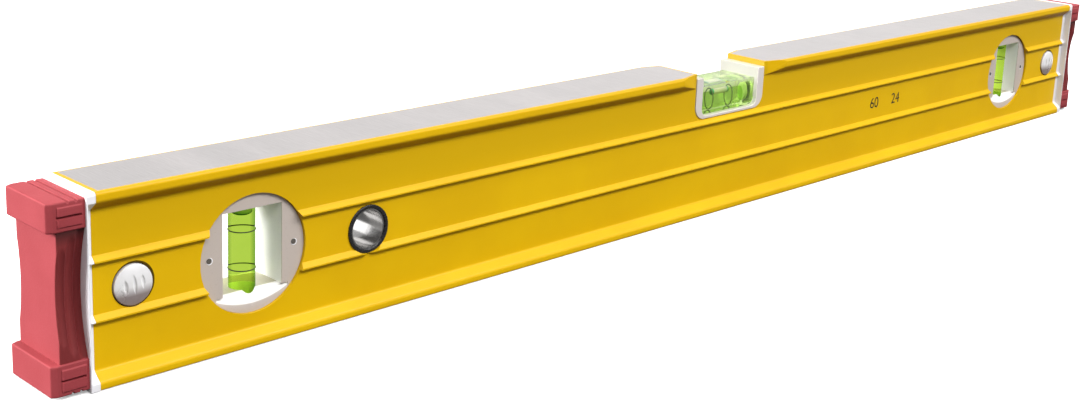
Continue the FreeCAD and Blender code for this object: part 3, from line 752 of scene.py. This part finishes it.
def release_buttons():
    """Domed heads with three slanted grooves, on the solid's own skirt, collar and stem."""
    grid, turns = 46, 120
    edge = 0.35 * MM
    outline = [(BUTTON_R - edge * 0.3, BUTTON_RIM - edge * 0.05), (BUTTON_R, BUTTON_RIM - edge),
               (BUTTON_R, COLLAR_FRONT), (COLLAR_R, COLLAR_FRONT), (COLLAR_R, COLLAR_BACK),
               (STEM_R, COLLAR_BACK), (STEM_R, STEM_END), (0, STEM_END)]
    for side, sign in SIDES:
        bm = bmesh.new()

        def ring(radius, front=None):
            """Points round the button's axis, on the crown unless their front is given."""
            points = []
            for i in range(turns if radius else 1):
                angle = 2 * math.pi * i / turns
                dx, dz = radius * math.cos(angle), radius * math.sin(angle)
                out = crown(dx, dz) if front is None else front
                points.append(bm.verts.new((sign * (BUTTON_X + dx), -out, BUTTON_Z + dz)))
            return points

        rings = [ring((BUTTON_R - edge) * i / grid) for i in range(grid + 1)]
        rings += [ring(radius, front) for radius, front in outline]
        join_rings(bm, rings, turns)
        finish_mesh(bm, "button_" + side, "button_" + side, "button_metal", BUTTON,
                    ("release_button_" + side,))


def soft(value, low, high):
    """0 below low, 1 above high, smooth between."""
    share = min(1.0, max(0.0, (value - low) / (high - low)))
    return share * share * (3 - 2 * share)


def between(value, low, high, edge):
    """1 from low to high and 0 outside, over soft edges."""
    return soft(value, low - edge / 2, low + edge / 2) * soft(high - value, -edge / 2, edge / 2)


def spread(low, high, step, breaks):
    """Places from low to high about a step apart, closer round each break."""
    count = max(1, round((high - low) / step))
    places = [low + (high - low) * i / count for i in range(count + 1)]
    for middle in breaks:
        near = [middle + offset * MM for offset in (-0.16, -0.08, 0.0, 0.08, 0.16)]
        inner = [p for p in near if low + 0.04 * MM < p < high - 0.04 * MM]
        places = [p for p in places if p in (low, high) or all(abs(p - n) > 0.07 * MM for n in inner)]
        places += inner
    return sorted(places)


def waist_depth(x, z):
    """How far the fluted side lies from the middle plane. The flutes sweep round an arc about X."""
    half = (TOP_LOW - BASE_TOP) / 2
    side, depth, loss, hollow = CAP_Y - 0.5 * MM, 3.3 * MM, 0.9 * MM, 0.8 * MM
    sweep = (half ** 2 + depth ** 2) / (2 * depth)
    place = max(0.0, x - INSERT_FACE) / FLUTE_WIDTH
    step = min(2, int(place))
    share = place - step
    radius = sweep - step * loss - loss * share + hollow * 4 * share * (1 - share)
    reach = radius ** 2 - (z - (BASE_TOP + TOP_LOW) / 2) ** 2
    if reach <= 0:
        return side
    return min(side, side - depth + sweep - math.sqrt(reach))


def groove(x):
    """Depth of the cross grooves in the cap's top and bottom."""
    return sum(0.5 * MM * between(x, middle - CROSS_HALF, middle + CROSS_HALF, 0.16 * MM)
               for middle in CROSS_GROOVES)


def pad(x, z):
    """Height of the slotted pads on a block's side."""
    low, high = (CAP_LOW, BASE_TOP) if z < HEIGHT / 2 else (TOP_LOW, CAP_HIGH)
    middle = (low + high) / 2
    raised = between(x, PAD_START, PAD_END, 0.3 * MM)
    raised *= between(z, low + PAD_MARGIN, high - PAD_MARGIN, 0.5 * MM)
    slot = between(x, PAD_START + 0.5 * MM, PAD_END + 0.1 * MM, 0.2 * MM)
    slot *= between(z, middle - SLOT_HALF, middle + SLOT_HALF, 0.16 * MM)
    return 0.45 * MM * raised - 1.2 * MM * slot


def cap_rows():
    """Height, inset and kind (block or waist) of every row of the cap's skin."""
    turns = [math.pi / 2 * i / 5 for i in range(6)]
    rows = []
    for low, high in ((CAP_LOW, BASE_TOP), (TOP_LOW, CAP_HIGH)):
        middle = (low + high) / 2
        breaks = (low + PAD_MARGIN, middle - SLOT_HALF, middle + SLOT_HALF, high - PAD_MARGIN)
        if rows:
            rows += [(BASE_TOP + (TOP_LOW - BASE_TOP) * i / FLUTED_ROWS, 0.0, False)
                     for i in range(FLUTED_ROWS + 1)]
        rows += [(low + CAP_ROUND * (1 - math.cos(a)), CAP_ROUND * (1 - math.sin(a)), True) for a in turns]
        rows += [(z, 0.0, True) for z in spread(low + CAP_ROUND, high - CAP_ROUND, 0.4 * MM, breaks)[1:-1]]
        rows += [(high - CAP_ROUND * (1 - math.cos(a)), CAP_ROUND * (1 - math.sin(a)), True)
                 for a in turns[::-1]]
    return rows


def block_plan():
    """Outline of a block's side and corner, as (x, y, normal's angle)."""
    breaks = [PAD_START, PAD_END]
    for middle in CROSS_GROOVES:
        breaks += [middle - CROSS_HALF, middle + CROSS_HALF]
    bend = CAP_FACE - CHAMFER_X
    stretch = (bend - INSERT_FACE) / (WAIST_X - CAP_ROUND - INSERT_FACE)
    breaks += [INSERT_FACE + FLUTE_WIDTH * step * stretch for step in (1, 2)]
    plan = [(x, CAP_Y, math.pi / 2) for x in spread(INSERT_FACE, bend - 0.1 * MM, 0.3 * MM, breaks)]
    lean = math.atan2(CHAMFER_Y, CHAMFER_X)
    plan.append((bend, CAP_Y - 0.015 * MM, math.pi / 2 - lean / 2))
    normal = math.pi / 2 - lean
    for share in (0.06, 0.5):
        plan.append((bend + CHAMFER_X * share, CAP_Y - CHAMFER_Y * share, normal))
    radius = 0.45 * MM
    back = radius * math.tan(normal / 2)
    centre = (CAP_FACE - radius, CAP_Y - CHAMFER_Y - back)
    for i in range(6):
        angle = normal * (1 - i / 5)
        plan.append((centre[0] + radius * math.cos(angle), centre[1] + radius * math.sin(angle), angle))
    return plan


def end_caps():
    """Each cap as one closed skin: blocks with slotted pads, fluted waist, grooved top and bottom."""
    plan = block_plan()
    rows = cap_rows()
    last, top = len(plan) - 1, len(rows) - 1
    turn_start = last - TURN_COLUMNS
    waist_end = WAIST_X - CAP_ROUND
    shrink = (waist_end - INSERT_FACE) / (plan[turn_start][0] - INSERT_FACE)
    for side, sign in SIDES:
        def place(i, j, k):
            """The skin's point at column i of the plan, j of the depth and row k."""
            z, inset, is_block = rows[k]
            x, y, angle = plan[i]
            if is_block:
                near_top = soft(z, CAP_HIGH - 1.3 * MM, CAP_HIGH - 0.5 * MM)
                near_base = 1 - soft(z, CAP_LOW + 0.5 * MM, CAP_LOW + 1.3 * MM)
                if i <= turn_start:
                    y += pad(x, z) * (1 - inset / CAP_ROUND)
                z += groove(x) * (near_base - near_top)
                x -= inset * math.cos(angle) * (i > 0)
                y -= inset * math.sin(angle)
            elif i <= turn_start:
                x = INSERT_FACE + (x - INSERT_FACE) * shrink
                y = waist_depth(x, z)
            else:
                angle = math.pi / 2 * (1 - (i - turn_start) / (last - turn_start))
                x = waist_end + CAP_ROUND * math.cos(angle)
                y = waist_depth(waist_end, z) - CAP_ROUND * (1 - math.sin(angle))
            return sign * x, -y * (1 - 2 * j / ACROSS), z

        bm = bmesh.new()
        made = {}

        def face(*corners):
            for corner in corners:
                if corner not in made:
                    made[corner] = bm.verts.new(place(*corner))
            bm.faces.new([made[corner] for corner in corners])

        for k in range(top):
            for i in range(last):
                for j in (0, ACROSS):
                    face((i, j, k), (i + 1, j, k), (i + 1, j, k + 1), (i, j, k + 1))
            for j in range(ACROSS):
                for i in (0, last):
                    face((i, j, k), (i, j + 1, k), (i, j + 1, k + 1), (i, j, k + 1))
        for i in range(last):
            for j in range(ACROSS):
                for k in (0, top):
                    face((i, j, k), (i + 1, j, k), (i + 1, j + 1, k), (i, j + 1, k))
        finish_mesh(bm, "cap_" + side, "cap_" + side, "cap_rubber", RUBBER, ("end_cap_" + side,), 34.0)


def holder_pins():
    """Small blind pin holes beside each opening, with a slight moulded rim round a dark disc of painted
    shade, shifted up and towards −X.
    """
    rim = [(1.15 * MM, -0.02 * MM), (1.10 * MM, 0.05 * MM), (0.98 * MM, 0.10 * MM), (0.86 * MM, 0.08 * MM),
           (0.80 * MM, 0.02 * MM)]
    # painted shade: a dark disc in each pin hole, shifted up and towards −X
    hole_shade_profile = [(0.92 * MM, 0.12 * MM), (0.5 * MM, 0.11 * MM), (0, 0.105 * MM)]
    for side, sign in SIDES:
        for face in (-1, 1):
            rims, pits = bmesh.new(), bmesh.new()
            for offset in (-15.4 * MM, 15.4 * MM):
                x, y, z = sign * WINDOW_X + offset, face * HOLDER_FACE, WINDOW_Z + 0.4 * MM
                lathe(rims, rim, (x, y, z), (0, face, 0), 32)
                lathe(pits, hole_shade_profile, (x - 0.25 * MM, y, z + 0.22 * MM), (0, face, 0), 32)
            tag = "%s_%s" % ("front" if face < 0 else "back", side)
            finish_mesh(rims, "holder_pin_" + tag, "level", "holder_plastic", WHITE)
            finish_mesh(pits, "holder_pin_hole_shade_" + tag, "level", "collar_plastic", PIT_SHADE)


def printed_numbers():
    """Plain length numbers, printed on the web between the ribs."""
    size, thickness, lift, base = 7.0 * MM, 0.01 * MM, 0.03 * MM, 27.0 * MM
    for word, x in (("60", 105.0 * MM), ("24", 122.5 * MM)):
        curve = bpy.data.curves.new("number_" + word, "FONT")
        curve.body = word
        curve.size = size
        curve.extrude = thickness
        text = linked("number_curve_" + word, curve)
        text.rotation_euler = (math.pi / 2, 0, 0)
        text.location = (x, -WEB_OUT - lift, base)
        bpy.context.view_layer.update()
        mesh = bpy.data.meshes.new_from_object(text.evaluated_get(bpy.context.evaluated_depsgraph_get()))
        mesh.transform(text.matrix_world)
        bpy.data.objects.remove(text)
        mesh.materials.clear()
        mesh.materials.append(INK)
        piece = linked("printed_" + word, mesh)
        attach(piece, "level")


# ---------------------------------------------------------------- stage
# Name, place, the point it shines at, size and power
LAMPS = (
    ("key_left", (-2.3, 0.6, 0.90), (-0.15, 0, 0.03), (1.0, 0.9), 108.0),
    ("back_card", (-1.9, 1.6, 0.70), (-0.15, 0, 0.03), (2.6, 2.2), 26.0),
    ("top_soft", (0.05, 0.15, 1.9), (0, 0, 0.03), (3.8, 2.6), 26.0),
    ("front_high", (0.15, -1.35, 1.55), (0.0, 0, 0.03), (2.6, 0.5), 58.0),
)
OVERHEAD_GREY, FLOOR_GREY = (0.55, 0.55, 0.55), (0.02, 0.02, 0.02)

# The camera, fitted to the photograph
FOCAL_PX, WIDTH_PX, SHIFT_PX = 1536.7, 1080.0, -100.0
CAMERA_PLACE = (-0.48854, -0.38394, 0.18645)
YAW, PITCH, ROLL = (math.radians(degrees) for degrees in (45.353, -13.398, 2.472))
SENSOR = 36.0


def floor():
    """White sweep that shows a light shadow and sends little light back up."""
    bm = bmesh.new()
    bmesh.ops.create_grid(bm, x_segments=2, y_segments=2, size=6.0)
    piece = mesh_object(bm, "floor")
    piece.location.z = -0.2 * MM
    m = Nodes("pale_floor")
    m.set(Base_Color=m.mix(m.noise(3.0), (0.80, 0.80, 0.80), (0.84, 0.84, 0.84)), Roughness=0.95,
          Specular_IOR_Level=0.0, Emission_Color=(1, 1, 1), Emission_Strength=0.35)
    dull = m.node("BsdfDiffuse", Color=(0.08, 0.08, 0.08))
    even = m.node("Emission", Strength=0.92)
    unseen = m.either(m.rays("Is Transmission Ray"), dull.outputs[0], even.outputs[0])
    m.show(m.either(m.rays("Is Camera Ray"), unseen, m.bsdf.outputs[0]))
    piece.data.materials.append(m.material)


def lamps():
    """A key beyond the near end, a long box above the front, weak ones overhead and behind."""
    for name, place, target, size, power in LAMPS:
        data = bpy.data.lights.new(name, "AREA")
        data.shape = "RECTANGLE"
        data.size, data.size_y = size
        data.energy = power
        lamp = linked(name, data)
        lamp.location = place
        lamp.rotation_euler = (Vector(target) - Vector(place)).to_track_quat("-Z", "Y").to_euler()


def studio():
    """A white background, and darker walls with a bright back and a card for light and reflections."""
    world = bpy.data.worlds.new("studio")
    scene.world = world
    world.use_nodes = True
    w = Tree(world.node_tree, "Generated")
    x, y, z = w.axes()
    back = w.times(w.span(y, -0.3, 0.5, 0.08, 1.0), w.span(x, 0.3, 0.9, 0.70, 1.0))
    left = w.span(x, 0.1, -0.6, 0.0, 0.28)
    card = w.span(w.minus(w.times(x, 0.69), w.times(y, 0.69)), 0.74, 0.86)
    card = w.times(card, w.span(z, 0.02, 0.12))
    colour = w.mix(w.span(z, 0.3, 0.9), w.most(back, left, w.times(card, 1.15)), OVERHEAD_GREY)
    colour = w.mix(w.span(z, -0.04, 0.08), FLOOR_GREY, colour)
    seen = w.rays("Is Camera Ray", "Is Transmission Ray")
    w.fill(w.tree.nodes["Background"], Color=w.mix(seen, colour, (1.0, 1.0, 1.0)))


def camera():
    """The photograph's viewing angle."""
    data = bpy.data.cameras.new("camera")
    data.sensor_width = SENSOR
    data.sensor_fit = "HORIZONTAL"
    data.lens = FOCAL_PX / WIDTH_PX * SENSOR
    data.shift_y = SHIFT_PX / WIDTH_PX
    data.clip_start = 0.01
    data.clip_end = 50.0
    forward = Vector((math.sin(YAW) * math.cos(PITCH), math.cos(YAW) * math.cos(PITCH), math.sin(PITCH)))
    right = Vector((math.cos(YAW), -math.sin(YAW), 0))
    up = right.cross(forward)
    turned_right = right * math.cos(ROLL) + up * math.sin(ROLL)
    turned_up = up * math.cos(ROLL) - right * math.sin(ROLL)
    turn = Matrix((turned_right, turned_up, -forward)).transposed()
    scene.camera = linked("camera", data)
    scene.camera.matrix_world = Matrix.Translation(CAMERA_PLACE) @ turn.to_4x4()


profile_body()
plain_fittings()
plumb_vials()
levelling_vial()
release_buttons()
end_caps()
holder_pins()
printed_numbers()
floor()
lamps()
studio()
camera()
scene.view_settings.view_transform = "Standard"
